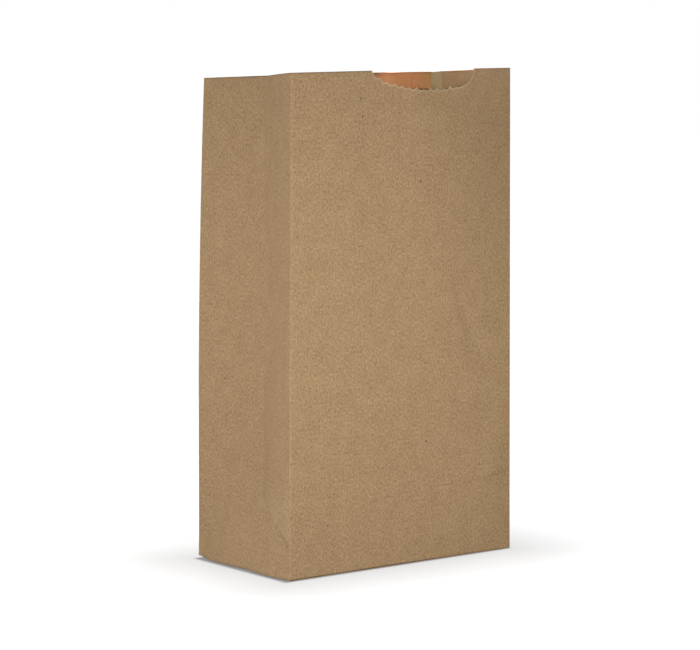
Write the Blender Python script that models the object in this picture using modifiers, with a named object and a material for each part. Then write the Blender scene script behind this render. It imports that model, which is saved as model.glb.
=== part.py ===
"""A brown kraft paper lunch bag, opened and standing by itself.

It is a self-opening sack: one sheet of paper glued into a gusseted tube with a lap seam
down its back, and folded and glued at one end into a flat block bottom. The front panel
has a thumb notch with a pinked edge. The bag stands at the origin with its front facing
-Y, its width along X and its mouth up. Units are metres.
"""
import math

import bmesh
import bpy
from mathutils import Matrix, Vector

# The sheet and the opened tube
BAG_WIDTH = 0.12065
BAG_DEPTH = 0.0746
BAG_HEIGHT = 0.2175
PAPER = 0.0001

# The block bottom: what the flaps and tucks lap, and the height of the flat-fold creases
BOTTOM_LAP = 0.016
CREASE_RISE = 0.033
FOLD_INSET = 0.0001

# The lap seam on the back panel, measured from the right back corner
SEAM_FROM_CORNER = 0.0106
SEAM_LAP = 0.010
SEAM_STEP = 0.0001

# How far each corner of the mouth has moved from above its own corner of the base
FRONT_LEFT_SHIFT = (0.0051, -0.0007)
FRONT_RIGHT_SHIFT = (0.0024, -0.0010)
BACK_RIGHT_SHIFT = (0.0068, -0.0093)
BACK_LEFT_SHIFT = (0.0067, -0.0027)
LEFT_CORNER_CURVE = 2.0
RIGHT_CORNER_CURVE = 1.0

# The cut edge of the mouth slopes a little, as rise over run
MOUTH_SLOPE_X = 0.0105
MOUTH_SLOPE_Y = -0.0117

# How far the side creases are tucked in, at the mouth and where the bottom's creases meet
LEFT_TUCK_MOUTH = 0.0095
LEFT_TUCK_CREASE = 0.0077
RIGHT_TUCK_MOUTH = 0.0160
RIGHT_TUCK_CREASE = 0.0090

# The bow of the front and back panels at the mouth, as pulls near their left and right ends
FRONT_BOW_LEFT = 0.008
FRONT_BOW_RIGHT = 0.016
BACK_BOW = 0.0015
BOW_CURVE = 1.4

# The thumb notch in the front panel
NOTCH_WIDTH = 0.056
NOTCH_DEPTH = 0.0082
NOTCH_OFFSET = 0.0060
NOTCH_TILT = math.radians(-2.5)
NOTCH_FULLNESS = 0.8
TOOTH_PITCH = 0.0036
TOOTH_HEIGHT = 0.0010

# How finely the curved panels are drawn
FRONT_STEPS = 30
BACK_STEPS = 8
HALF_GUSSET_STEPS = 4
WALL_STEPS = 14

KRAFT = (0.403, 0.262, 0.150, 1.0)

# The floor sheet's upper face lies three sheets up, on the inner and the outer flap
FLOOR_RISE = 3.0 * PAPER

# Each glued layer reaches part of a sheet into the floor, unlike so that no two faces meet
OUTER_FLAP_SUNK = 0.5 * PAPER
INNER_FLAP_SUNK = 0.4 * PAPER
TUCK_SUNK = 0.3 * PAPER

FLAP_LENGTH = (BAG_DEPTH + BOTTOM_LAP) / 2.0
HALF_WIDTH = BAG_WIDTH / 2.0
HALF_DEPTH = BAG_DEPTH / 2.0

# Each corner of the base, with the shift and the curve of the fold that rises from it
CORNERS = {
    "front_left": (-HALF_WIDTH, -HALF_DEPTH, FRONT_LEFT_SHIFT, LEFT_CORNER_CURVE),
    "front_right": (HALF_WIDTH, -HALF_DEPTH, FRONT_RIGHT_SHIFT, RIGHT_CORNER_CURVE),
    "back_right": (HALF_WIDTH, HALF_DEPTH, BACK_RIGHT_SHIFT, RIGHT_CORNER_CURVE),
    "back_left": (-HALF_WIDTH, HALF_DEPTH, BACK_LEFT_SHIFT, LEFT_CORNER_CURVE),
}


def clear_scene():
    for item in list(bpy.data.objects):
        bpy.data.objects.remove(item, do_unlink=True)


def new_collection(name):
    collection = bpy.data.collections.new(name)
    bpy.context.scene.collection.children.link(collection)
    return collection


def kraft_material():
    """Unbleached kraft paper: warm brown and almost without gloss."""
    material = bpy.data.materials.new("kraft_paper")
    material.use_nodes = True
    shader = material.node_tree.nodes["Principled BSDF"]
    shader.inputs["Base Color"].default_value = KRAFT
    shader.inputs["Roughness"].default_value = 0.85
    shader.inputs["Metallic"].default_value = 0.0
    return material


def corner(name, rise):
    """A corner fold's place in plan, where rise is 0 at the base and 1 at the mouth."""
    base_x, base_y, shift, curve = CORNERS[name]
    moved = rise ** curve
    return Vector((base_x + shift[0] * moved, base_y + shift[1] * moved))


def above_crease(rise):
    """How far up a point is from the flat-fold crease to the mouth, from 0 to 1."""
    crease = CREASE_RISE / BAG_HEIGHT
    return max(0.0, (rise - crease) / (1.0 - crease))


def front_point(along, rise):
    """The front panel, flat below its crease and bowed out more and more above it."""
    place = corner("front_left", rise).lerp(corner("front_right", rise), along)
    pull_left = 3.0 * along * (1.0 - along) ** 2 * FRONT_BOW_LEFT
    pull_right = 3.0 * along ** 2 * (1.0 - along) * FRONT_BOW_RIGHT
    place.y -= (pull_left + pull_right) * above_crease(rise) ** BOW_CURVE
    return place


def back_point(along, rise):
    """The back panel, which bows out only a little."""
    place = corner("back_right", rise).lerp(corner("back_left", rise), along)
    place.y += 4.0 * along * (1.0 - along) * BACK_BOW * above_crease(rise) ** BOW_CURVE
    return place


def gusset_tuck(along, rise, at_crease, at_mouth):
    """How far a gusset is tucked in.

    A diagonal crease runs up from each base corner to the centre crease, which it meets at
    CREASE_RISE. The triangle below the two leans in as one flat face, and above them each
    half of the gusset is flat from its corner fold to the centre crease.
    """
    toward_centre = 1.0 - abs(2.0 * along - 1.0)
    up_triangle = rise * BAG_HEIGHT / CREASE_RISE
    if up_triangle < 1.0:
        return at_crease * min(toward_centre, up_triangle)
    deepest = at_crease + (at_mouth - at_crease) * above_crease(rise)
    return deepest * toward_centre


def right_point(along, rise):
    place = corner("front_right", rise).lerp(corner("back_right", rise), along)
    place.x -= gusset_tuck(along, rise, RIGHT_TUCK_CREASE, RIGHT_TUCK_MOUTH)
    return place


def left_point(along, rise):
    place = corner("back_left", rise).lerp(corner("front_left", rise), along)
    place.x += gusset_tuck(along, rise, LEFT_TUCK_CREASE, LEFT_TUCK_MOUTH)
    return place


def mouth_height(place):
    """The height of the mouth's cut edge at a place in plan."""
    return BAG_HEIGHT + MOUTH_SLOPE_X * place.x + MOUTH_SLOPE_Y * place.y


def even_steps(count):
    return [step / count for step in range(count)]


def back_stations():
    """The back panel's stations, with a close pair at each edge of the lap seam."""
    near = SEAM_FROM_CORNER / BAG_WIDTH
    far = (SEAM_FROM_CORNER + SEAM_LAP) / BAG_WIDTH
    step = SEAM_STEP / BAG_WIDTH
    ring = [(back_point, near - step, False), (back_point, near, True)]
    ring += [(back_point, far, True), (back_point, far + step, False)]
    for along in even_steps(BACK_STEPS):
        if along < near - 2.0 * step or along > far + 2.0 * step:
            ring.append((back_point, along, False))
    return sorted(ring, key=lambda station: station[1])


def stations():
    """The wall's vertical lines in order round the bag: panel, place along it, in the seam."""
    half_gusset = 2 * HALF_GUSSET_STEPS
    ring = [(front_point, along, False) for along in even_steps(FRONT_STEPS)]
    ring += [(right_point, along, False) for along in even_steps(half_gusset)]
    ring += back_stations()
    ring += [(left_point, along, False) for along in even_steps(half_gusset)]
    return ring


def levels():
    """The loft's levels: below the crease they match the diagonal creases' steps."""
    below = [step / HALF_GUSSET_STEPS * CREASE_RISE for step in range(HALF_GUSSET_STEPS)]
    rises = [height / BAG_HEIGHT for height in below]
    crease = CREASE_RISE / BAG_HEIGHT
    for step in range(WALL_STEPS + 1):
        rises.append(crease + (1.0 - crease) * step / WALL_STEPS)
    return rises


def wall_vertex(panel, along, rise):
    """A point of the sheet: its height runs from the floor's level to the cut edge."""
    place = panel(along, rise)
    top = mouth_height(panel(along, 1.0))
    return Vector((place.x, place.y, FLOOR_RISE + (top - FLOOR_RISE) * rise))


def loft_sheet(material, collection):
    """The tube and its floor as one open surface, given the paper's thickness by Solidify."""
    mesh = bpy.data.meshes.new("lunch_bag")
    bag = bpy.data.objects.new("lunch_bag", mesh)
    collection.objects.link(bag)
    mesh.materials.append(material)
    build = bmesh.new()
    ring = stations()
    rises = levels()
    rows = [[build.verts.new(wall_vertex(panel, along, rise)) for panel, along, _ in ring]
            for rise in rises]
    for low in range(len(rises) - 1):
        for here in range(len(ring)):
            there = (here + 1) % len(ring)
            a, b = rows[low][here], rows[low][there]
            c, d = rows[low + 1][there], rows[low + 1][here]
            panel, along, _ = ring[here]
            if low >= HALF_GUSSET_STEPS or panel not in (left_point, right_point):
                build.faces.new((a, b, c, d))
            elif along < 0.5:
                build.faces.new((a, b, c))
                build.faces.new((a, c, d))
            else:
                build.faces.new((a, b, d))
                build.faces.new((b, c, d))
    build.faces.new(list(reversed(rows[0])))
    build.to_mesh(mesh)
    build.free()

    lap = bag.vertex_groups.new(name="lap_seam")
    doubled = [low * len(ring) + here
               for low in range(len(rises)) for here, (_, _, seam) in enumerate(ring) if seam]
    single = [index for index in range(len(rises) * len(ring)) if index not in set(doubled)]
    lap.add(doubled, 1.0, "REPLACE")
    lap.add(single, 0.5, "REPLACE")

    sheet = bag.modifiers.new("paper", "SOLIDIFY")
    sheet.thickness = 2.0 * PAPER
    sheet.offset = 1.0
    sheet.use_even_offset = True
    sheet.vertex_group = "lap_seam"
    return bag


def prism(name, outline, thickness, placed, collection):
    """A flat outline in the curve's own XY plane, given a thickness and placed."""
    curve = bpy.data.curves.new(name + "_outline", "CURVE")
    curve.dimensions = "2D"
    curve.fill_mode = "BOTH"
    curve.extrude = thickness / 2.0
    spline = curve.splines.new("POLY")
    spline.points.add(len(outline) - 1)
    for point, (x, y) in zip(spline.points, outline):
        point.co = (x, y, 0.0, 1.0)
    spline.use_cyclic_u = True
    drawn = bpy.data.objects.new(name + "_outline", curve)
    collection.objects.link(drawn)
    drawn.matrix_world = placed
    bpy.context.view_layer.update()

    evaluated = drawn.evaluated_get(bpy.context.evaluated_depsgraph_get())
    mesh = bpy.data.meshes.new_from_object(evaluated)
    build = bmesh.new()
    build.from_mesh(mesh)
    bmesh.ops.remove_doubles(build, verts=build.verts, dist=PAPER / 100.0)
    bmesh.ops.recalc_face_normals(build, faces=build.faces)
    build.to_mesh(mesh)
    build.free()
    solid = bpy.data.objects.new(name, mesh)
    collection.objects.link(solid)
    solid.matrix_world = drawn.matrix_world.copy()
    solid.hide_render = True
    solid.display_type = "WIRE"
    bpy.data.objects.remove(drawn, do_unlink=True)
    return solid


def layer(name, outline, low, high, collection):
    """One or more glued layers of paper lying flat between two heights."""
    placed = Matrix.Translation((0.0, 0.0, (low + high) / 2.0))
    return prism(name, outline, high - low, placed, collection)


def flap_outline(side):
    """A bottom flap folded in from the front (side -1) or the back (side 1).

    Its ends are mitred at 45 degrees by the corner folds, and its free edge lies past the
    middle of the bottom by half the lap.
    """
    fold = side * (HALF_DEPTH - FOLD_INSET)
    free = side * (HALF_DEPTH - FLAP_LENGTH)
    long_half = HALF_WIDTH - FOLD_INSET
    short_half = HALF_WIDTH - FLAP_LENGTH
    corners = [(-long_half, fold), (long_half, fold), (short_half, free), (-short_half, free)]
    return corners if side < 0 else list(reversed(corners))


def tuck_outline(side):
    """An end tuck, folded in over the inside of the bottom from the left or right gusset."""
    fold = side * (HALF_WIDTH - FOLD_INSET)
    free = side * (HALF_WIDTH - FLAP_LENGTH)
    half = HALF_DEPTH - FOLD_INSET
    corners = [(fold, -half), (fold, half), (free, half), (free, -half)]
    return corners if side > 0 else list(reversed(corners))


def notch_outline():
    """The pinked half ellipse of the notch, drawn in x and z about the middle of its mouth."""
    half = NOTCH_WIDTH / 2.0
    teeth = round(NOTCH_WIDTH / TOOTH_PITCH)
    outline = [(half, NOTCH_DEPTH), (-half, NOTCH_DEPTH), (-half, 0.0)]
    for step in range(1, 2 * teeth):
        turn = math.pi * step / (2 * teeth)
        bite = TOOTH_HEIGHT if step % 2 == 0 else 0.0
        depth = NOTCH_DEPTH * math.sin(turn) ** NOTCH_FULLNESS - bite * math.sin(turn)
        outline.append((-half * math.cos(turn), -depth))
    outline.append((half, 0.0))
    return outline


def notch_cutter(collection):
    """The notch's outline set upright, through the front panel and nothing behind it."""
    left = front_point(0.0, 1.0)
    right = front_point(1.0, 1.0)
    outside = min(left.y, right.y) - max(FRONT_BOW_LEFT, FRONT_BOW_RIGHT)
    inside = -HALF_DEPTH / 2.0
    place = Vector(((left.x + right.x) / 2.0 + NOTCH_OFFSET, (outside + inside) / 2.0))
    upright = Matrix.Rotation(math.pi / 2.0, 4, "X")
    tilted = Matrix.Rotation(-NOTCH_TILT, 4, "Y")
    height = mouth_height(place)
    placed = Matrix.Translation((place.x, place.y, height)) @ tilted @ upright
    return prism("notch_cutter", notch_outline(), inside - outside, placed, collection)


def combine(bag, other, operation):
    """Join another solid to the bag, or cut it away from it."""
    modifier = bag.modifiers.new(other.name, "BOOLEAN")
    modifier.object = other
    modifier.operation = operation
    modifier.solver = "EXACT"


def build_bag():
    clear_scene()
    parts = new_collection("paper_lunch_bag")
    cutters = new_collection("bag_cutters")
    bag = loft_sheet(kraft_material(), parts)

    # The outer flap carries the bag, and the inner flap lies a sheet higher
    inner_top = FLOOR_RISE - INNER_FLAP_SUNK
    outer_top = FLOOR_RISE - OUTER_FLAP_SUNK
    tuck_low = FLOOR_RISE - TUCK_SUNK
    layers = [layer("outer_flap", flap_outline(-1), 0.0, outer_top, cutters)]
    layers.append(layer("inner_flap", flap_outline(1), PAPER, inner_top, cutters))
    layers.append(layer("left_tuck", tuck_outline(-1), tuck_low, FLOOR_RISE + PAPER, cutters))
    layers.append(layer("right_tuck", tuck_outline(1), tuck_low, FLOOR_RISE + PAPER, cutters))
    for folded in layers:
        combine(bag, folded, "UNION")
    combine(bag, notch_cutter(cutters), "DIFFERENCE")


build_bag()
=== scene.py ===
"""A brown kraft paper lunch bag, opened and standing on a plain white floor."""

import math

import bpy
import numpy as np
from mathutils import Matrix, Vector


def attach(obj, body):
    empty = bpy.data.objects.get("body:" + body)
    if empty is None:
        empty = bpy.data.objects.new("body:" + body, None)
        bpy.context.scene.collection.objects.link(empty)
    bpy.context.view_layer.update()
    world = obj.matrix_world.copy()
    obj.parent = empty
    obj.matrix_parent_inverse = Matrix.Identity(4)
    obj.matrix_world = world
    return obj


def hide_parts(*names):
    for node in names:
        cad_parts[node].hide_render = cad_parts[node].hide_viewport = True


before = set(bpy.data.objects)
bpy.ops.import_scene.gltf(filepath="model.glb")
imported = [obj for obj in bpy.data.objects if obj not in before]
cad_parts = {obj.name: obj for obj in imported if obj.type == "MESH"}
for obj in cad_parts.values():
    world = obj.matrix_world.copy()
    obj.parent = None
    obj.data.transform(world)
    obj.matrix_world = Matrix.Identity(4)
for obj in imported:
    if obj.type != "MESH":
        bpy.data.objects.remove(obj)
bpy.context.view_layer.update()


# The camera. It looks at the front left corner fold from a metre away and a little above
# the mouth, through a long lens, so that the bag's upright edges stay nearly parallel.
EYE = Vector((-0.64321, -0.93763, 0.21372))
YAW, PITCH, ROLL = (math.radians(angle) for angle in (34.409, 5.499, -0.95))

camera_data = bpy.data.cameras.new("camera")
camera_data.sensor_width = 36.0
camera_data.lens = 130.15
camera_data.clip_start = 0.05
camera_data.clip_end = 60.0
camera = bpy.data.objects.new("camera", camera_data)
bpy.context.scene.collection.objects.link(camera)
ahead = Vector((math.sin(YAW) * math.cos(PITCH), math.cos(YAW) * math.cos(PITCH), -math.sin(PITCH)))
level = Vector((math.cos(YAW), -math.sin(YAW), 0.0))
upright = level.cross(ahead)
across = math.cos(ROLL) * level + math.sin(ROLL) * upright
above = math.cos(ROLL) * upright - math.sin(ROLL) * level
stand = Matrix((across, above, -ahead)).transposed().to_4x4()
stand.translation = EYE
camera.matrix_world = stand
bpy.context.scene.camera = camera


# The light. Four small soft lamps stand close at the front, the left and the back left, a far one shines from the back
# left, two more light the back and the right, a narrow spot shines down into the mouth, and the room's own even light
# fills what they leave.
def lamp(name, place, aim, width, height, power):
    """A soft rectangular lamp that stands at a place and faces an aim, in metres and watts."""
    light = bpy.data.lights.new(name, "AREA")
    light.shape = "RECTANGLE"
    light.size = width
    light.size_y = height
    light.energy = power
    made = bpy.data.objects.new(name, light)
    bpy.context.scene.collection.objects.link(made)
    made.visible_camera = False
    facing = Vector(aim) - Vector(place)
    made.matrix_world = Matrix.Translation(place) @ facing.to_track_quat("-Z", "Y").to_matrix().to_4x4()
    return light


BAG_MIDDLE = (0.0, 0.0, 0.1)
lamp("front_light", (0.0, -0.32, 0.095), BAG_MIDDLE, 0.2, 0.2, 0.57)
lamp("corner_light", (-0.283, -0.283, 0.10), BAG_MIDDLE, 0.2, 0.2, 0.17)
lamp("left_light", (-0.309, -0.083, 0.13), BAG_MIDDLE, 0.2, 0.2, 0.41)
lamp("back_left_light", (-0.283, 0.283, 0.12), BAG_MIDDLE, 0.2, 0.2, 0.14)
lamp("far_light", (-1.30, 0.75, 0.305), BAG_MIDDLE, 0.1, 0.1, 3.0)
lamp("back_light", (0.10, 0.55, 0.22), BAG_MIDDLE, 0.3, 0.3, 0.9)
lamp("right_light", (0.55, 0.12, 0.22), BAG_MIDDLE, 0.3, 0.3, 0.8)
mouth_light = lamp("mouth_light", (-0.25, -0.40, 0.80), (0.040, -0.002, 0.231), 0.04, 0.04, 0.025)
mouth_light.spread = math.radians(5.4)


def linear(hex_colour):
    """An sRGB hex colour as linear red, green, blue and alpha."""
    parts = [int(hex_colour[start:start + 2], 16) / 255.0 for start in (1, 3, 5)]
    straight = [part / 12.92 if part <= 0.04045 else ((part + 0.055) / 1.055) ** 2.4 for part in parts]
    return (*straight, 1.0)


def add_node(tree, kind, links=None, **settings):
    """A node of one kind, with settings by name and links by input name or number.

    A setting named after an input sets that input's value, and any other sets a property.
    """
    node = tree.nodes.new(kind)
    for name, value in settings.items():
        if hasattr(node, name):
            setattr(node, name, value)
    for name, value in settings.items():
        label = name.replace("_", " ").title()
        if not hasattr(node, name):
            node.inputs[label].default_value = value
    for name, source in (links or {}).items():
        if isinstance(source, (int, float, tuple)):
            node.inputs[name].default_value = source
        else:
            tree.links.new(source, node.inputs[name])
    return node


# The room is an even pale grey to the paper, and pure white where the camera looks past it.
room = bpy.data.worlds.new("pale_room")
room.use_nodes = True
room_tree = room.node_tree
room_tree.nodes.clear()
ROOM_STRENGTH = 0.12
seen = add_node(room_tree, "ShaderNodeLightPath")
room_fill = add_node(room_tree, "ShaderNodeBackground", {"Color": linear("#ffffff"), "Strength": ROOM_STRENGTH})
room_white = add_node(room_tree, "ShaderNodeBackground", {"Color": linear("#ffffff"), "Strength": 1.0})
room_mix = add_node(room_tree, "ShaderNodeMixShader",
                    {0: seen.outputs["Is Camera Ray"], 1: room_fill.outputs[0], 2: room_white.outputs[0]})
add_node(room_tree, "ShaderNodeOutputWorld", {"Surface": room_mix.outputs[0]})
bpy.context.scene.world = room
bpy.context.scene.view_settings.view_transform = "Standard"


# The floor is a wide sheet of matt white card. It keeps the bag's soft shadow, and glows a little to the camera alone,
# so that it runs out to the same white as the room behind it.
# The glow is weaker close to the bag, which paints a grey shade round its foot.
FLOOR_HALF = 6.0
floor_mesh = bpy.data.meshes.new("floor")
floor_mesh.from_pydata(
    [(-FLOOR_HALF, -FLOOR_HALF, 0.0), (FLOOR_HALF, -FLOOR_HALF, 0.0),
     (FLOOR_HALF, FLOOR_HALF, 0.0), (-FLOOR_HALF, FLOOR_HALF, 0.0)], [], [(0, 1, 2, 3)])
floor = bpy.data.objects.new("floor", floor_mesh)
bpy.context.scene.collection.objects.link(floor)
white_card = bpy.data.materials.new("white_card")
white_card.use_nodes = True
card_tree = white_card.node_tree
card_shader = card_tree.nodes["Principled BSDF"]
card_shader.inputs["Base Color"].default_value = linear("#8c8c8c")
card_shader.inputs["Roughness"].default_value = 0.9
card_shader.inputs["Specular IOR Level"].default_value = 0.2
card_place = add_node(card_tree, "ShaderNodeTexCoord")
card_turned = add_node(card_tree, "ShaderNodeMapping",
                       {"Vector": card_place.outputs["Object"], "Location": (0.0014, 0.0, 0.0),
                        "Rotation": (0.0, 0.0, -0.0197)})
card_size = add_node(card_tree, "ShaderNodeVectorMath", {0: card_turned.outputs[0]}, operation="ABSOLUTE")
card_past = add_node(card_tree, "ShaderNodeVectorMath", {0: card_size.outputs[0], 1: (0.0612, 0.0361, 0.0)},
                     operation="SUBTRACT")
card_clear = add_node(card_tree, "ShaderNodeVectorMath", {0: card_past.outputs[0], 1: (0.0, 0.0, 0.0)},
                      operation="MAXIMUM")
card_reach = add_node(card_tree, "ShaderNodeVectorMath", {0: card_clear.outputs[0]}, operation="LENGTH")
# Painted shade: the glow is dimmest in a thin line along the bag's bottom edges and rises to full over 65 mm
card_near = add_node(card_tree, "ShaderNodeMapRange",
                     {"Value": card_reach.outputs["Value"], "From Min": 0.0, "From Max": 0.002,
                      "To Min": 0.3, "To Max": 1.0})
card_far = add_node(card_tree, "ShaderNodeMapRange",
                    {"Value": card_reach.outputs["Value"], "From Min": 0.0, "From Max": 0.065,
                     "To Min": 0.64, "To Max": 1.0})
card_seen = add_node(card_tree, "ShaderNodeLightPath")
card_painted_shade = add_node(card_tree, "ShaderNodeMath",
                     {0: card_near.outputs["Result"], 1: card_far.outputs["Result"]}, operation="MULTIPLY")
card_glow = add_node(card_tree, "ShaderNodeMath",
                     {0: card_painted_shade.outputs[0], 1: card_seen.outputs["Is Camera Ray"]}, operation="MULTIPLY")
card_shader.inputs["Emission Color"].default_value = linear("#ffffff")
card_tree.links.new(card_glow.outputs[0], card_shader.inputs["Emission Strength"])
floor_mesh.materials.append(white_card)


# The paper. Unbleached kraft, 57 grams to the square metre and a tenth of a millimetre
# thick, machine glazed on neither side. Its fibres run up the bag, and the pulp is cloudy,
# with dark shives of bark and a few pale fibre bundles, so it reads warm brown and matt.
def kraft_material():
    """Kraft paper drawn on the sheet's own flat coordinates, in millimetres."""
    kraft = bpy.data.materials.new("unbleached_kraft_paper")
    kraft.use_nodes = True
    tree = kraft.node_tree
    shader = tree.nodes["Principled BSDF"]
    flat = add_node(tree, "ShaderNodeAttribute", attribute_name="flat_place", attribute_type="GEOMETRY")
    place = flat.outputs["Vector"]

    def pattern(scale, detail, roughness, lengths):
        """Noise with one scale to the millimetre, drawn out by lengths across and up."""
        stretched = add_node(tree, "ShaderNodeMapping", {"Vector": place, "Scale": (1.0 / lengths[0], 1.0 / lengths[1], 1.0)})
        noise = add_node(tree, "ShaderNodeTexNoise",
                         {"Vector": stretched.outputs[0], "Scale": scale, "Detail": detail,
                          "Roughness": roughness}, noise_dimensions="3D")
        return noise.outputs["Fac"]

    # Clouds of pulp 6 mm wide, fibre streaks 0.5 mm by 3 mm, and a grain of 0.4 mm; real
    # fibres are 0.03 mm wide, so the streaks stand for bundles that the eye can make out
    clouds = pattern(1.0, 3.0, 0.5, (6.0, 10.0))
    streaks = pattern(1.0, 2.0, 0.5, (0.6, 3.0))
    grain = pattern(1.0, 1.0, 0.5, (0.8, 1.1))

    pulp = add_node(tree, "ShaderNodeMath", {0: clouds, 1: 0.20, 2: 0.0}, operation="MULTIPLY_ADD")
    pulp = add_node(tree, "ShaderNodeMath", {0: streaks, 1: 0.25, 2: pulp.outputs[0]}, operation="MULTIPLY_ADD")
    pulp = add_node(tree, "ShaderNodeMath", {0: grain, 1: 0.75, 2: pulp.outputs[0]}, operation="MULTIPLY_ADD")
    shade = add_node(tree, "ShaderNodeMapRange",
                     {"Value": pulp.outputs[0], "From Min": 0.28, "From Max": 0.92})
    colour = add_node(tree, "ShaderNodeMix", {0: shade.outputs["Result"], 6: linear("#8c6c4a"), 7: linear("#ccac82")},
                      data_type="RGBA")

    def flecks(across, up, size, share, tilt):
        """Where small flecks lie, one in a share of cells that are across by up millimetres."""
        turned = add_node(tree, "ShaderNodeMapping",
                          {"Vector": place, "Rotation": (0.0, 0.0, tilt), "Scale": (1.0 / across, 1.0 / up, 1.0)})
        cells = add_node(tree, "ShaderNodeTexVoronoi", {"Vector": turned.outputs[0], "Scale": 1.0},
                         feature="F1")
        near = add_node(tree, "ShaderNodeMapRange",
                        {"Value": cells.outputs["Distance"], "From Min": size, "From Max": size * 0.45})
        chosen = add_node(tree, "ShaderNodeSeparateColor", {"Color": cells.outputs["Color"]})
        rare = add_node(tree, "ShaderNodeMath", {0: chosen.outputs[0], 1: share}, operation="LESS_THAN")
        both = add_node(tree, "ShaderNodeMath", {0: near.outputs["Result"], 1: rare.outputs[0]},
                        operation="MULTIPLY")
        return both.outputs[0]

    # Shives, 0.5 mm wide and 1 mm long, lie along the grain or across it
    for tone, weight, laid in (("#6f5236", 0.75, flecks(3.0, 6.0, 0.13, 0.10, 0.15)),
                               ("#4c3724", 0.80, flecks(4.0, 4.0, 0.15, 0.016, 0.4)),
                               ("#7b5c3e", 0.60, flecks(5.5, 3.2, 0.10, 0.07, -0.5)),
                               ("#d9c3a0", 0.50, flecks(2.6, 5.4, 0.10, 0.08, -0.1))):
        strength = add_node(tree, "ShaderNodeMath", {0: laid, 1: weight}, operation="MULTIPLY")
        colour = add_node(tree, "ShaderNodeMix", {0: strength.outputs[0], 6: colour.outputs[2], 7: linear(tone)},
                          data_type="RGBA")

    # The inside is painted warmer and darker, a painted stand-in for the reddish light that reaches it through the
    # sheet, strongest on the back panel
    parts = add_node(tree, "ShaderNodeSeparateXYZ", {0: place})
    painted_through_light = add_node(tree, "ShaderNodeMapRange",
                      {"Value": parts.outputs["Z"], "From Min": 20.0, "From Max": 40.0, "To Max": 0.9})
    colour = add_node(tree, "ShaderNodeMix", {0: painted_through_light.outputs["Result"], 6: colour.outputs[2], 7: linear("#a1683f")},
                      data_type="RGBA")

    # Folds are rubbed pale and the facet over the left diagonal has a painted highlight, the notch shows clean fibre,
    # and painted shade darkens the mouth's edge, the seam's inner edge and two creases
    for name, tone, weight in (("fold_wear_and_painted_highlight", "#cdb592", 0.25), ("cut_edge", "#dcc6a5", 0.8),
                               ("painted_shade", "#8a6238", 0.5)):
        worn = add_node(tree, "ShaderNodeAttribute", attribute_name=name, attribute_type="GEOMETRY")
        amount = add_node(tree, "ShaderNodeMath", {0: worn.outputs["Fac"], 1: weight}, operation="MULTIPLY")
        colour = add_node(tree, "ShaderNodeMix", {0: amount.outputs[0], 6: colour.outputs[2], 7: linear(tone)},
                          data_type="RGBA")

    relief = add_node(tree, "ShaderNodeMath", {0: streaks, 1: 0.6, 2: grain}, operation="MULTIPLY_ADD")
    bump = add_node(tree, "ShaderNodeBump", {"Height": relief.outputs[0], "Strength": 0.25, "Distance": 0.00012})
    rough = add_node(tree, "ShaderNodeMapRange", {"Value": grain, "To Min": 0.78, "To Max": 0.92})
    tree.links.new(colour.outputs[2], shader.inputs["Base Color"])
    tree.links.new(rough.outputs["Result"], shader.inputs["Roughness"])
    tree.links.new(bump.outputs["Normal"], shader.inputs["Normal"])
    shader.inputs["IOR"].default_value = 1.5
    shader.inputs["Specular IOR Level"].default_value = 0.3
    return kraft


kraft_paper = kraft_material()


# The tube. One sheet of kraft is wrapped into a tube with gusseted sides and glued in a lap
# seam down the back, near the right corner. Opened, its front bows out, its gussets lean in
# to their centre creases, and its folds stay soft. Sizes are in millimetres.
WIDTH = 120.65
DEPTH = 74.6
HEIGHT = 217.5
SHEET = 0.1
CREASE_RISE = 33.0
SEAM_NEAR = 10.6
SEAM_FAR = 20.6
MOUTH_MIDDLE = 217.52
MOUTH_SLOPE_X = 0.0073
MOUTH_SLOPE_Y = -0.0162

# Each corner fold: its foot, how far its top has moved, and the power of its curve upwards
FOLDS = {
    "front_left": ((-WIDTH / 2.0, -DEPTH / 2.0), (5.1, -0.7), 0.95),
    "front_right": ((WIDTH / 2.0 + 1.6, -DEPTH / 2.0 + 2.4), (0.5, -3.4), 1.0),
    "back_right": ((WIDTH / 2.0, DEPTH / 2.0), (6.8, -9.3), 1.0),
    "back_left": ((-WIDTH / 2.0, DEPTH / 2.0), (6.0, -2.7), 1.75),
}


def fold_place(name, rise):
    """A corner fold's place in plan at each rise, which is 0 at the base and 1 at the mouth."""
    foot, moved, power = FOLDS[name]
    grown = np.clip(rise, 0.0, None) ** power
    return foot[0] + moved[0] * grown, foot[1] + moved[1] * grown


def between(first, second, along, rise):
    """The straight line in plan from one corner fold to the next."""
    x0, y0 = fold_place(first, rise)
    x1, y1 = fold_place(second, rise)
    return x0 + (x1 - x0) * along, y0 + (y1 - y0) * along


def above_crease(rise):
    low = CREASE_RISE / HEIGHT
    return np.clip((rise - low) / (1.0 - low), 0.0, None)


def hill(value, middle, reach):
    """A smooth bump of height 1 about a middle."""
    return np.exp(-((value - middle) / reach) ** 2)


def soft_size(value, radius):
    """The size of a value, rounded off near 0, and still 0 there and 1 at 1."""
    return (np.sqrt(value ** 2 + radius ** 2) - radius) / (np.sqrt(1.0 + radius ** 2) - radius)


def step_up(value, start, end):
    """Rises smoothly from 0 at start to 1 at end."""
    part = np.clip((value - start) / (end - start), 0.0, 1.0)
    return part * part * (3.0 - 2.0 * part)


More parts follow.
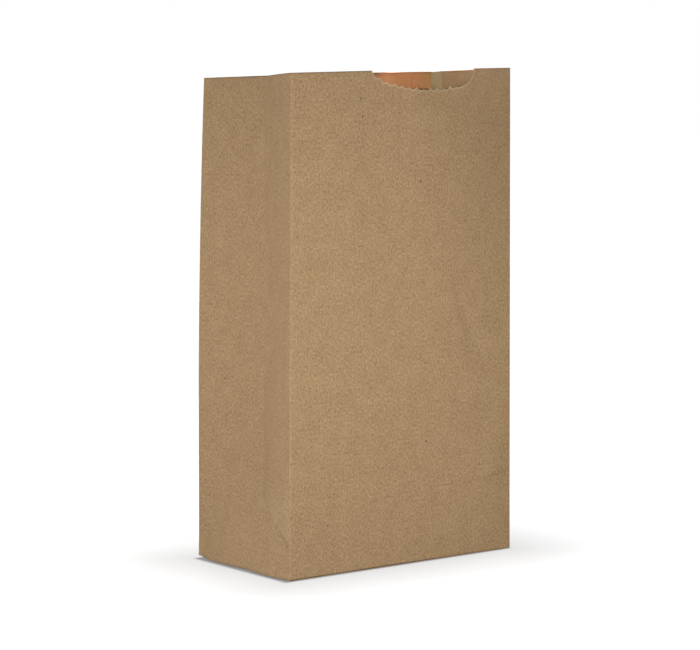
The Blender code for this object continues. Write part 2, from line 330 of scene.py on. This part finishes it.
def front_panel(along, rise):
    """The front bows out more and more to the mouth, and is dented where it was handled."""
    x, y = between("front_left", "front_right", along, rise)
    across = along * WIDTH
    swell = 8.7 * (1.0 - np.clip(1.0 - along / 0.55, 0.0, 1.0) ** 2)
    turned_back = 0.27 * (WIDTH - across)
    bow = swell * turned_back / (swell ** 4 + turned_back ** 4) ** 0.25
    y = y - bow * above_crease(rise) ** 1.4
    up = rise * HEIGHT

    # The bottom's flat-fold crease stands out a little at the right, and fades to the left
    right_share = step_up(across, 70.0, 118.0)
    crease = 31.5 + 4.0 * right_share
    lifted = np.minimum(up / crease, np.exp(-np.clip(up - crease, 0.0, None) / 22.0))
    y = y - 1.5 * right_share * lifted * step_up(WIDTH - across, 0.0, 12.0)

    # A crossways dent at the right, a long shallow one above it, and the sheet's own waves
    y = y + 0.8 * hill(up - 0.35 * (across - 110.0), 64.0, 5.0) * hill(across, 108.0, 8.0) * step_up(WIDTH - across, 0.0, 9.0)
    y = y + 0.6 * hill(across + 0.42 * (up - 104.0), 96.0, 4.0) * hill(up, 104.0, 24.0)
    y = y + 0.35 * np.sin(across / 9.0 + up / 60.0) * step_up(up, 40.0, 150.0) * np.sin(np.pi * along) ** 2
    return x, y


def back_panel(along, rise):
    """The back bows out a little, with slow waves."""
    x, y = between("back_right", "back_left", along, rise)
    x = x - 0.7 * along ** 12 * np.exp(-rise / 0.07)
    y = y + 4.0 * along * (1.0 - along) * 1.5 * above_crease(rise) ** 1.4
    wave = 0.5 * np.sin(along * 9.0 + rise * 3.0) * above_crease(rise) * np.sin(np.pi * along) ** 2
    return x, y + wave


def diagonal_share(along, rise, centre, front_end):
    """How high a place is, where 1 is on the diagonal crease from a corner to the centre."""
    out = along - centre
    part = np.abs(out) / np.where(out < 0.0, centre, 1.0 - centre)
    crease = CREASE_RISE + (np.where(out < 0.0, 0.0, front_end) - CREASE_RISE) * part
    share = rise * HEIGHT / np.maximum(crease, 0.5)
    blend = 0.12 + 0.6 * step_up(-out / centre, 0.0, 0.5)
    least = (1.0 - np.sqrt(1.0 + blend ** 2)) / 2.0
    lower = (1.0 + share - np.sqrt((1.0 - share) ** 2 + blend ** 2)) / 2.0
    return np.clip((lower - least) / (1.0 - least), 0.0, None) ** 1.3


def gusset(along, rise, depth_crease, depth_mouth, centre, softness, front_end):
    """How far a gusset leans in. Each base corner sends a diagonal crease to its centre."""
    out = along - centre
    to_centre = 1.0 - soft_size(out / np.where(out < 0.0, centre, 1.0 - centre), softness)
    deepest = depth_crease + (depth_mouth - depth_crease) * above_crease(rise)
    return deepest * to_centre * diagonal_share(along, rise, centre, front_end)


def right_panel(along, rise):
    x, y = between("front_right", "back_right", along, rise)
    return x - gusset(along, rise, 9.0, 16.0, 0.5, 0.03, 0.0), y


def left_panel(along, rise):
    """The left gusset, whose centre crease is sharp at the mouth and softens downwards."""
    x, y = between("back_left", "front_left", along, rise)
    x = x - 0.7 * (1.0 - along) ** 3 * np.exp(-rise / 0.07)

    # The base edge swells on both sides of the centre crease, which runs faintly to the floor
    swollen = step_up(along, 0.0, 0.22) * step_up(1.0 - along, 0.0, 0.18)
    swollen = swollen * (1.0 - 0.5 * hill(along, 0.55, 0.09))
    x = x - 2.1 * swollen * hill(rise * HEIGHT, 0.0, 27.0)
    shifted = 0.5 + 0.047 * (1.0 - step_up(rise, 0.55, 1.0))
    softness = 0.02 + 0.6 * (1.0 - step_up(rise, 0.1, 0.8))
    x = x + gusset(along, rise, 9.0, 9.5, shifted, softness, 12.5)

    # Its front half swells out over the diagonal, which ends above the corner on the fold
    forward = np.clip((along - shifted) / (1.0 - shifted), 0.0, 1.0)
    diagonal = CREASE_RISE + (12.5 - CREASE_RISE) * forward
    over = step_up(rise * HEIGHT - diagonal, -0.5, 3.0) * hill(rise * HEIGHT, 26.0, 62.0)
    x = x - 4.0 * np.sin(np.pi * forward ** 0.85) * over
    return x, y


def graded(length, lines, fine, coarse):
    """Places along a length, close together near each line and further apart between."""
    fine_grid = np.linspace(0.0, length, 6001)
    gap = np.full_like(fine_grid, coarse)
    for line in lines:
        gap = np.minimum(gap, fine + 0.3 * np.abs(fine_grid - line))
    middle = 0.5 * (1.0 / gap[1:] + 1.0 / gap[:-1]) * np.diff(fine_grid)
    counted = np.concatenate([[0.0], np.cumsum(middle)])
    steps = int(np.ceil(counted[-1]))
    return np.interp(np.linspace(0.0, counted[-1], steps + 1), counted, fine_grid)


# The thumb notch is a half ellipse cut by a pinking blade: sharp teeth between round bites
NOTCH_WIDTH = 56.6
NOTCH_DEPTH = 9.2
NOTCH_MIDDLE = 66.3
NOTCH_TEETH = 15
FIRST_TOOTH = 0.03
TOOTH_HEIGHT = 1.25


def notch_depth(across):
    """How far below the mouth's edge the notch is cut, at a place across the front."""
    part = np.clip((across - NOTCH_MIDDLE) / (NOTCH_WIDTH / 2.0), -1.0, 1.0)
    fullness = np.where(part < 0.0, 1.6, 3.8)
    bowl = np.sqrt(1.0 - np.abs(part) ** fullness)
    count = (part + 1.0) * NOTCH_TEETH / 2.0 - FIRST_TOOTH
    spike = (np.abs(count % 1.0 - 0.5) * 2.0) ** 1.7
    uneven = 0.85 + 0.25 * np.sin(np.round(count) * 2.4)
    cut_clean = step_up(part, -1.0, -0.82) * (1.0 - step_up(part, 0.5, 0.72))
    return NOTCH_DEPTH * bowl - TOOTH_HEIGHT * spike * uneven * cut_clean


notch_left = NOTCH_MIDDLE - NOTCH_WIDTH / 2.0
notch_right = NOTCH_MIDDLE + NOTCH_WIDTH / 2.0
tooth_width = NOTCH_WIDTH / NOTCH_TEETH
tooth_places = [notch_left + (tooth + FIRST_TOOTH + part) * tooth_width for tooth in range(-1, NOTCH_TEETH)
                for part in (0.0, 0.09, 0.22, 0.5, 0.78, 0.91)]
tooth_places = [place for place in tooth_places if notch_left + 0.3 < place < notch_right - 0.3]
front_places = [place for place in graded(WIDTH, (0.0, WIDTH), 0.3, 2.0)
                if place < notch_left - 0.6 or place > notch_right + 0.6]
front_places += tooth_places
front_places += [notch_left - 0.3, notch_left, notch_left + 0.1, notch_right - 0.1, notch_right, notch_right + 0.3]
front_places.sort()

# The sheet's columns in order: panel, distance along it, from the inner edge of the seam
strip = [(back_panel, place / WIDTH, WIDTH, 0.0) for place in SEAM_NEAR + graded(WIDTH - SEAM_NEAR, (0.0, WIDTH - SEAM_NEAR), 0.3, 3.0)]
strip += [(left_panel, place / DEPTH, DEPTH, 0.0) for place in graded(DEPTH, (0.0, DEPTH * 0.547, DEPTH), 0.3, 1.3)[1:]]
strip += [(front_panel, place / WIDTH, WIDTH, 0.0) for place in front_places[1:]]
strip += [(right_panel, place / DEPTH, DEPTH, 0.0) for place in graded(DEPTH, (0.0, DEPTH * 0.5, DEPTH), 0.3, 2.4)[1:]]
strip += [(back_panel, place / WIDTH, WIDTH, 1.0) for place in graded(SEAM_FAR, (0.0, SEAM_NEAR, SEAM_FAR), 0.3, 2.0)[1:]]
heights = graded(HEIGHT, (0.0, 15.0, 19.5, 24.0, 28.5, CREASE_RISE, HEIGHT), 0.45, 2.1)

# How far along the sheet each column lies, and how far it is past each of the four folds
lengths = np.array([0.0] + [
    (here[1] - there[1]) * here[2] if here[0] is there[0] and here[3] == there[3]
    else here[1] * here[2] + (1.0 - there[1]) * there[2]
    for there, here in zip(strip[:-1], strip[1:])])
run = np.cumsum(lengths)
FOLD_RUNS = (WIDTH - SEAM_NEAR, WIDTH - SEAM_NEAR + DEPTH, 2.0 * WIDTH - SEAM_NEAR + DEPTH,
             2.0 * WIDTH - SEAM_NEAR + 2.0 * DEPTH)
TURNS = ((back_panel, left_panel), (left_panel, front_panel), (front_panel, right_panel), (right_panel, back_panel))
FOLD_RADIUS = 0.45

rises = (heights / HEIGHT)[:, None]
plan_x = np.zeros((len(heights), len(strip)))
plan_y = np.zeros_like(plan_x)
mouth = np.zeros(len(strip))
for number, (panel, along, _, _) in enumerate(strip):
    column_x, column_y = panel(np.full_like(rises, along), rises)
    plan_x[:, number] = column_x[:, 0]
    plan_y[:, number] = column_y[:, 0]
    mouth[number] = MOUTH_MIDDLE + MOUTH_SLOPE_X * column_x[-1, 0] + MOUTH_SLOPE_Y * column_y[-1, 0]
    if panel is front_panel:
        mouth[number] -= notch_depth(np.array(along * WIDTH))
    if panel is left_panel:
        mouth[number] -= 0.45 * hill(along, 0.5, 0.27) + 0.3 * (1.0 - along) ** 2
    if panel is back_panel:
        mouth[number] += 0.35 * hill(along, 0.4, 0.35) - 0.3 * along ** 6
    if panel is right_panel:
        mouth[number] -= 0.3 * hill(along, 0.5, 0.4)

# Each fold is rounded: near it the sheet is drawn towards the inside of the corner
for fold_run, (before, after) in zip(FOLD_RUNS, TURNS):
    near = 1.0
    span_before = WIDTH if before in (front_panel, back_panel) else DEPTH
    span_after = WIDTH if after in (front_panel, back_panel) else DEPTH
    foot_x, foot_y = after(np.zeros_like(rises), rises)
    back_x, back_y = before(np.full_like(rises, 1.0 - near / span_before), rises)
    on_x, on_y = after(np.full_like(rises, near / span_after), rises)
    inward_x = (on_x - foot_x) / near + (back_x - foot_x) / near
    inward_y = (on_y - foot_y) / near + (back_y - foot_y) / near
    past = (run - fold_run)[None, :]
    drawn = 0.5 * (np.sqrt(past ** 2 + FOLD_RADIUS ** 2) - np.abs(past))
    plan_x = plan_x + inward_x * drawn
    plan_y = plan_y + inward_y * drawn

# Below the top 30 mm the rows are level, and above it they close up under the cut edge
SQUEEZE_FROM = HEIGHT - 30.0
whole = heights[:, None] * np.ones_like(mouth)
top_part = np.clip((whole - SQUEEZE_FROM) / (HEIGHT - SQUEEZE_FROM), 0.0, 1.0)
up = np.where(whole > SQUEEZE_FROM, SQUEEZE_FROM + (mouth - SQUEEZE_FROM) * top_part, whole)
BASE_LIFT = 0.1


def sheet_lift(x, y):
    """How far the back left corner of the bottom stands off the floor."""
    return 0.5 * np.exp(-((x + WIDTH / 2.0) ** 2 + (y - DEPTH / 2.0) ** 2) / 8.0 ** 2)


# The folds round the bottom ride a little above the floor, but for the one at the right
foot_lift = sheet_lift(plan_x[0], plan_y[0])
for number, (panel, along, _, _) in enumerate(strip):
    if panel is front_panel:
        foot_lift[number] += 0.4 * (1.0 - step_up(along, 0.75, 0.95))
    if panel is left_panel:
        foot_lift[number] += 0.3 + 0.25 * math.sin(math.pi * along)
    if panel is back_panel:
        foot_lift[number] += 0.3 * step_up(along, 0.0, 0.3)
plan_z = up + (BASE_LIFT + foot_lift) * (1.0 - up / HEIGHT)


def outward_normals(x, y, z):
    """The outward normal at each point of a grid whose columns run round the bag."""
    grid = np.stack([x, y, z], axis=-1)
    along_run = np.gradient(grid, axis=1)
    along_up = np.gradient(grid, axis=0)
    normal = np.cross(along_run, along_up)
    return normal / np.linalg.norm(normal, axis=-1, keepdims=True)


def paper_solid(name, inner, outer, flat_places, fold_wear_and_painted_highlight, cut_edge, painted_shade, painted_through_light_columns=()):
    """A sheet with both faces and its edges, from the grids of its inner and outer face."""
    rows, columns = inner.shape[:2]
    count = rows * columns
    points = np.concatenate([inner.reshape(-1, 3), outer.reshape(-1, 3)]) / 1000.0
    index = np.arange(count).reshape(rows, columns)
    low_left, low_right = index[:-1, :-1].ravel(), index[:-1, 1:].ravel()
    top_right, top_left = index[1:, 1:].ravel(), index[1:, :-1].ravel()
    inside = np.stack([low_left, top_left, top_right, low_right], axis=1)
    outside = np.stack([low_left, low_right, top_right, top_left], axis=1) + count
    rim = np.concatenate([index[0, :], index[1:, -1], index[-1, -2::-1], index[-2:0:-1, 0]])
    following = np.roll(rim, -1)
    edges = np.stack([following, rim, rim + count, following + count], axis=1)[:, ::-1]
    faces = np.concatenate([inside, outside, edges])
    mesh = bpy.data.meshes.new(name)
    mesh.from_pydata(points.tolist(), [], faces.tolist())
    smooth = np.ones(len(faces), bool)
    smooth[-len(edges):] = False
    mesh.polygons.foreach_set("use_smooth", smooth)
    place = mesh.attributes.new("flat_place", "FLOAT_VECTOR", "POINT")
    # The inner face gets the painted tint for light come through the sheet, strongest on the back panel
    inner_places = flat_places.copy()
    inner_places[..., 2] = 28.0
    inner_places[:, list(painted_through_light_columns), 2] = 40.0
    place.data.foreach_set("vector", np.concatenate([inner_places.reshape(-1, 3), flat_places.reshape(-1, 3)]).ravel())
    for label, values in (("fold_wear_and_painted_highlight", fold_wear_and_painted_highlight), ("cut_edge", cut_edge), ("painted_shade", painted_shade)):
        attribute = mesh.attributes.new(label, "FLOAT", "POINT")
        attribute.data.foreach_set("value", np.concatenate([values.ravel(), values.ravel()]))
    mesh.materials.append(kraft_paper)
    mesh.validate()
    mesh.update()
    solid = bpy.data.objects.new(name, mesh)
    bpy.context.scene.collection.objects.link(solid)
    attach(solid, "root")
    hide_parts("lunch_bag")
    return solid


# The outer ply of the seam lies on the inner one, and each ply's free edge lifts a little
outer_ply = np.array([ply for _, _, _, ply in strip])
seam_run = run[-1] - SEAM_FAR
last_gusset = np.clip((run - FOLD_RUNS[2]) / DEPTH, 0.0, 1.0)
standing = 0.13 * last_gusset
free_outer = 0.22 * step_up(run, run[-1] - 3.0, run[-1])[None, :] * (0.6 + 0.4 * np.sin(up / 7.0))
free_inner = -0.55 * step_up(-run, -3.5, 0.0)[None, :] * (0.35 + 0.65 * step_up(up, 120.0, HEIGHT))
normals = outward_normals(plan_x, plan_y, plan_z)
face = np.stack([plan_x, plan_y, plan_z], axis=-1)
inner_face = face + normals * (standing[None, :] + free_outer + free_inner)[..., None]

# The foot turns in under the bag to meet the flaps
TURN_RADIUS = 0.5
turned = []
for angle in (90.0, 60.0, 30.0):
    swing = math.radians(angle)
    foot = inner_face[0].copy()
    foot[:, :2] -= normals[0, :, :2] * TURN_RADIUS * (1.0 - math.cos(swing))
    foot[:, 2] += TURN_RADIUS * (1.0 - math.sin(swing))
    turned.append(foot)
rise_row = inner_face.copy()
rise_row[:, :, 2] += TURN_RADIUS * (1.0 - up / HEIGHT)
lip = turned[0].copy()
lip[:, :2] -= normals[0, :, :2] * 2.6
inner_face = np.concatenate([np.stack([lip] + turned), rise_row])
all_normals = outward_normals(inner_face[..., 0], inner_face[..., 1], inner_face[..., 2])
outer_face = inner_face + all_normals * SHEET

flat_places = np.zeros_like(inner_face)
flat_places[..., 0] = run[None, :]
flat_places[..., 1] = np.concatenate([np.full((4, len(run)), 0.0), up])

nearest_fold = np.min(np.abs(run[None, :] - np.array(FOLD_RUNS)[:, None]), axis=0)
wear_and_painted_highlight = 0.15 * np.exp(-(nearest_fold / 0.3) ** 2)[None, :] * np.ones((len(inner_face), 1))
side_centre = FOLD_RUNS[0] + 0.547 * DEPTH
wear_and_painted_highlight = wear_and_painted_highlight + 0.5 * np.exp(-((run[None, :] - side_centre) / 0.35) ** 2) * (flat_places[..., 1] < 34.0)

# Over the left diagonal the sheet is painted paler up to the bottom's flat crease, a painted highlight on that facet,
# and the diagonal itself is a painted shade line. Both fade into the corner fold at the front.
gusset_part = (run[None, :] - side_centre) / (FOLD_RUNS[1] - side_centre)
over_diagonal = flat_places[..., 1] - CREASE_RISE - (12.5 - CREASE_RISE) * gusset_part
in_front_half = step_up(gusset_part, -0.02, 0.12) * step_up(1.02 - gusset_part, 0.0, 0.06)
facet = in_front_half * step_up(over_diagonal, 0.3, 1.6) * step_up(CREASE_RISE + 0.8 - flat_places[..., 1], 0.0, 1.2)
wear_and_painted_highlight = wear_and_painted_highlight + 0.5 * facet * step_up(gusset_part, 0.0, 0.5)
line_part = step_up(gusset_part, -0.03, 0.03) * step_up(1.0 - gusset_part, 0.0, 0.1)
diagonal_line = line_part * np.exp(-((over_diagonal + 0.2) / 0.75) ** 2)

# The bottom's flat crease has a painted shade line at the front's right, under a paler line that runs along the dent
# above it
front_place = run[None, :] - FOLD_RUNS[1]
crease_part = step_up(front_place, 84.0, 108.0) * step_up(WIDTH - front_place, 0.0, 1.5)
crease_line = crease_part * hill(flat_places[..., 1], 31.9 + 0.167 * (front_place - 94.2), 0.9)
pale_line_part = step_up(front_place, 96.0, 110.0) * step_up(WIDTH - front_place, 0.0, 2.0)
wear_and_painted_highlight = wear_and_painted_highlight + 0.25 * pale_line_part * hill(flat_places[..., 1], 67.6 + 0.34 * (front_place - 102.0), 1.6)
# Painted shade darkens the last half millimetre under the mouth's edge outside the notch; inside the notch the same
# band is the paler cut fibre
edge_gap = np.concatenate([np.full((4, len(run)), 99.0), mouth[None, :] - up])
close_to_edge = np.exp(-(edge_gap / 0.45) ** 2)
# Painted shadow: a dark line beside the seam's inner ply edge
seam_painted_shadow = np.exp(-(run / 0.6) ** 2)[None, :] * np.ones((len(inner_face), 1))
in_notch = ((run > FOLD_RUNS[1] + notch_left) & (run < FOLD_RUNS[1] + notch_right)).astype(float)[None, :]
# The last colour mask is painted shade: along the mouth's edge outside the notch, beside the seam's inner edge, along
# the left diagonal and along the bottom's crease
bag_tube = paper_solid("bag_tube", inner_face, outer_face, flat_places, wear_and_painted_highlight,
                       close_to_edge * in_notch, np.maximum(np.maximum(close_to_edge * (1.0 - in_notch), seam_painted_shadow), 0.7 * diagonal_line + 0.5 * crease_line),
                       [number for number, column in enumerate(strip) if column[0] is back_panel])


# The block bottom. The tube's end is folded in: the two end tucks lie inside, and the front
# and back flaps, with their ends mitred at 45 degrees, lap across the middle and are glued.
FLAP_LENGTH = (DEPTH + 16.0) / 2.0


def flap(name, low, corner_lines, grain_across, raised_edge):
    """A flat glued layer, from two lines of plan points that it is stretched between."""
    first, last = (np.array(line, float) for line in corner_lines)
    parts = graded(1.0, (0.0, 1.0), 0.01, 0.05)[:, None, None]
    shares = graded(1.0, (0.0, 1.0), 0.01, 0.05)[None, :, None]
    start = first[0] + (first[1] - first[0]) * shares
    end = last[0] + (last[1] - last[0]) * shares
    plan = start + (end - start) * parts
    wavy = 0.03 * np.sin(plan[..., 0] / 8.0) * np.sin(plan[..., 1] / 7.0)
    rest = low + 0.03 + wavy + sheet_lift(plan[..., 0], plan[..., 1])
    rest = rest + raised_edge * parts[..., 0] ** 6 * (0.5 + 0.5 * np.cos(shares[..., 0] * 7.0))
    inner = np.concatenate([plan, (rest + SHEET)[..., None]], axis=-1)
    outer = np.concatenate([plan, rest[..., None]], axis=-1)
    places = np.zeros_like(inner)
    places[..., 0] = plan[..., 1 if grain_across else 0] + 500.0
    places[..., 1] = plan[..., 0 if grain_across else 1]
    nothing = np.zeros(plan.shape[:2])
    edge = np.ones_like(nothing) * np.exp(-((1.0 - parts[..., 0]) * FLAP_LENGTH / 0.45) ** 2)
    return paper_solid(name, inner, outer, places, nothing, edge, nothing)


INSET = 0.9
corners = {name: [place - math.copysign(INSET, place) for place in foot] for name, (foot, _, _) in FOLDS.items()}
short_x = WIDTH / 2.0 - FLAP_LENGTH
half_y = DEPTH / 2.0 - INSET
free_y = FLAP_LENGTH - DEPTH / 2.0
flap("outer_flap", 0.0, ((corners["front_right"], corners["front_left"]), ((short_x, free_y), (-short_x, free_y))),
     False, 0.0)
flap("inner_flap", 0.14, ((corners["back_left"], corners["back_right"]), ((-short_x, -free_y), (short_x, -free_y))),
     False, 0.0)
flap("left_tuck", 0.32, ((corners["front_left"], corners["back_left"]), ((-short_x, -half_y), (-short_x, half_y))),
     True, 0.9)
flap("right_tuck", 0.32, ((corners["back_right"], corners["front_right"]), ((short_x, half_y), (short_x, -half_y))),
     True, 0.7)
